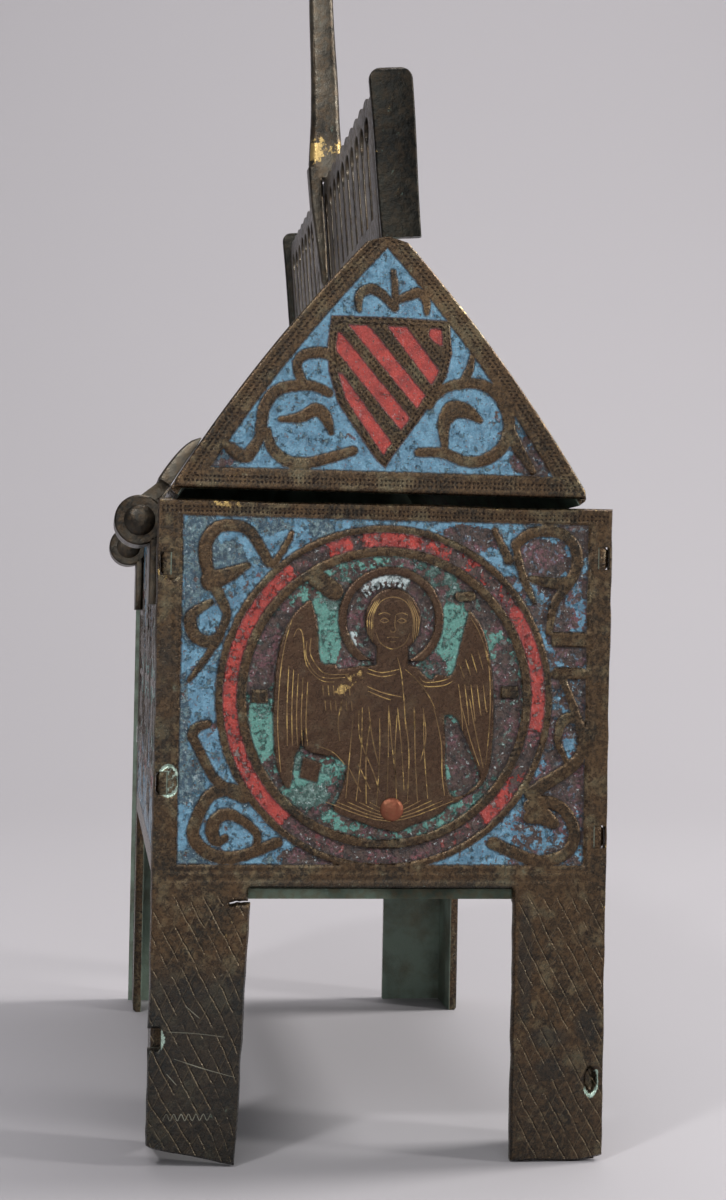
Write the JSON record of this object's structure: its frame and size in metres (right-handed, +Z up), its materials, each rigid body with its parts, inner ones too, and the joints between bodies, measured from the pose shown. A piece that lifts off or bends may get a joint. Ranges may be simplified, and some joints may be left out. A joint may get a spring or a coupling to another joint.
{
  "type": "reliquary casket",
  "caption": "House-shaped enamelled copper casket on corner legs, with a gable lid on rear hinges, a pierced ridge crest and a finial.",
  "frame": {"origin": "on the ground under the middle of the casket's whole box, hinge barrels and rivet head included", "axes": "+X along the casket, +Y across it towards the hinges, +Z up"},
  "size_m": [0.1806, 0.0999, 0.2726],
  "materials": {
    "enamelled_copper": "satin brown copper with traces of gilding and matt blue, turquoise and red enamel",
    "dark_copper": "satin dark brown copper",
    "red_copper": "dull reddish copper"
  },
  "bodies": {
    "casket": {"left_end_plate": "enamelled_copper", "right_end_plate": "enamelled_copper", "left_end_rivet": "red_copper", "front_plate": "enamelled_copper", "back_plate": "enamelled_copper", "floor_plate": "dark_copper", "left_hinge_leaf": "dark_copper", "right_hinge_leaf": "dark_copper", "left_hinge_pin": "dark_copper", "right_hinge_pin": "dark_copper"},
    "lid": {"left_gable": "enamelled_copper", "right_gable": "enamelled_copper", "front_roof_plate": "enamelled_copper", "back_roof_plate": "enamelled_copper", "crest": "dark_copper", "left_crest_strip": "dark_copper", "right_crest_strip": "dark_copper", "finial_stem": "dark_copper", "finial_knob": "dark_copper", "left_hinge_strap": "dark_copper", "right_hinge_strap": "dark_copper"}
  },
  "joints": [
    {"name": "lid_hinge", "type": "hinge", "parent": "casket", "child": "lid", "pos_m": [0.0003, 0.0449, 0.1271], "axis": [-1, 0, 0], "range_deg": [0, 150]}
  ]
}
